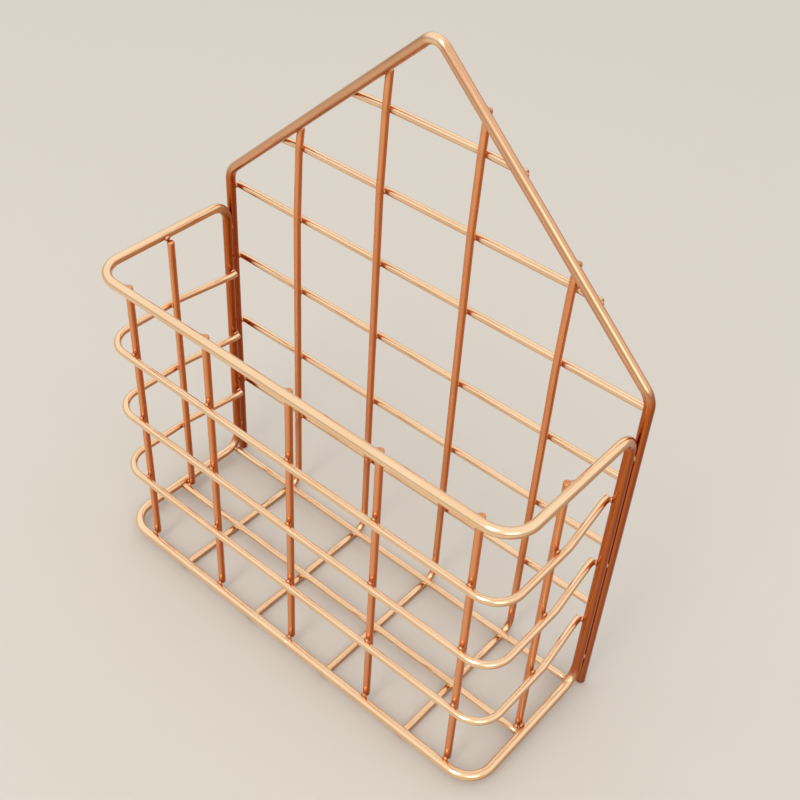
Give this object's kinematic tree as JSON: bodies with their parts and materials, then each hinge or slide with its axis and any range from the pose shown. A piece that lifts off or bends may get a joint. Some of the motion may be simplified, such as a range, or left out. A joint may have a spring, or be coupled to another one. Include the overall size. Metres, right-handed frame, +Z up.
{
  "type": "desk organizer rack",
  "caption": "House-shaped wire rack for a desk: a tall gabled back grid with an open-topped letter basket in front, spot-welded from round plated wire.",
  "frame": {"origin": "middle of the footprint, on the surface that the rack stands on", "axes": "+X to the rack's right seen from the front, +Y towards the gabled back, +Z up"},
  "size_m": [0.204, 0.0788, 0.2487],
  "materials": {
    "frame_plating": "polished rose-gold plating over steel wire",
    "basket_plating": "polished rose-gold plating over steel wire",
    "rail_plating": "polished rose-gold plating over steel wire",
    "back_floor_plating": "polished rose-gold plating over steel wire",
    "cross_floor_plating": "polished rose-gold plating over steel wire",
    "hoop_plating": "polished rose-gold plating over steel wire",
    "upright_plating": "polished rose-gold plating over steel wire"
  },
  "bodies": {
    "root": {"back_frame": "frame_plating", "basket_frame": "basket_plating", "back_rail_1": "rail_plating", "back_rail_2": "rail_plating", "back_rail_3": "rail_plating", "back_rail_4": "rail_plating", "back_rail_5": "rail_plating", "back_rail_6": "rail_plating", "back_floor_wire_1": "back_floor_plating", "back_floor_wire_2": "back_floor_plating", "back_floor_wire_3": "back_floor_plating", "back_floor_wire_4": "back_floor_plating", "rear_floor_wire": "cross_floor_plating", "middle_floor_wire": "cross_floor_plating", "basket_hoop_1": "hoop_plating", "basket_hoop_2": "hoop_plating", "basket_hoop_3": "hoop_plating", "front_upright_1": "upright_plating", "front_upright_2": "upright_plating", "front_upright_3": "upright_plating", "front_upright_4": "upright_plating", "front_upright_5": "upright_plating", "side_upright_left": "upright_plating", "side_upright_right": "upright_plating"}
  },
  "joints": []
}
